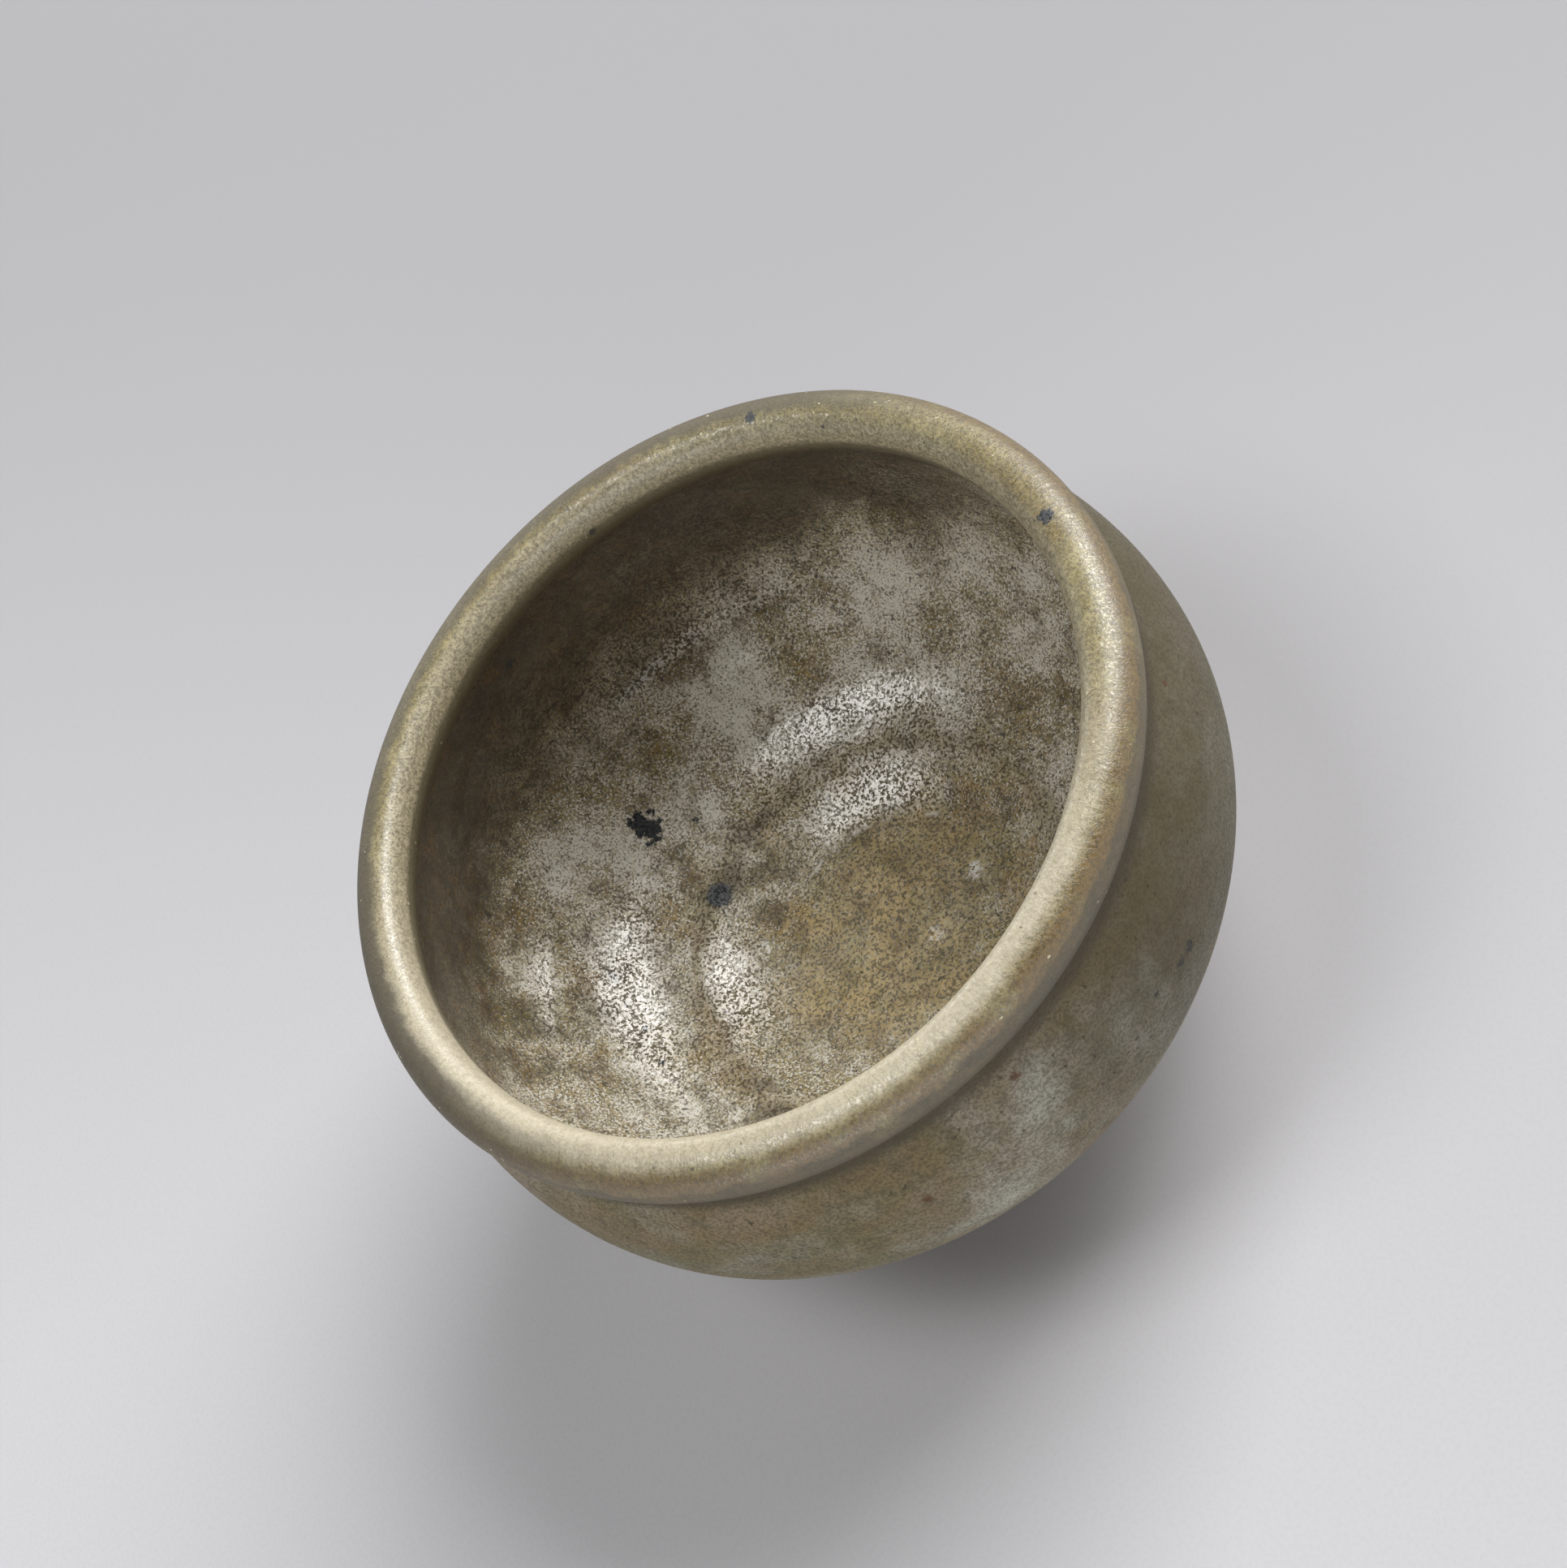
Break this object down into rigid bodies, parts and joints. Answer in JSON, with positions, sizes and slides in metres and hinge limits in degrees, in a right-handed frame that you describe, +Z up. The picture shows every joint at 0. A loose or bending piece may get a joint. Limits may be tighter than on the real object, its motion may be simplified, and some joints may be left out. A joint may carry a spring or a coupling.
{
  "type": "footed bowl",
  "caption": "Small round stoneware bowl with a rolled lip, an attached foot ring and a mottled ash glaze, for tea or food.",
  "frame": {"origin": "centre of the foot ring's resting face, where the bowl stands on a table", "axes": "+Z up along the axis of the wheel that the bowl was thrown on, out of its mouth; +X and +Y are across the rim, and the bowl is round, so any pair would do"},
  "size_m": [0.1088, 0.1088, 0.062],
  "materials": {
    "stoneware": "unglazed iron-bearing stoneware",
    "foot_stoneware": "unglazed stoneware, toasted brown by the firing",
    "inner_ash_glaze": "satin wood-ash glaze, brown and olive under a milky grey bloom",
    "lip_ash_glaze": "thin satin ash glaze, khaki with olive and rust edges",
    "outer_ash_glaze": "satin ash glaze, grey-olive in turned bands with iron spots"
  },
  "bodies": {
    "root": {"bowl_body": "stoneware", "rolled_lip": "stoneware", "foot_ring": "foot_stoneware", "inner_glaze": "inner_ash_glaze", "lip_glaze": "lip_ash_glaze", "outer_glaze": "outer_ash_glaze"}
  },
  "joints": []
}
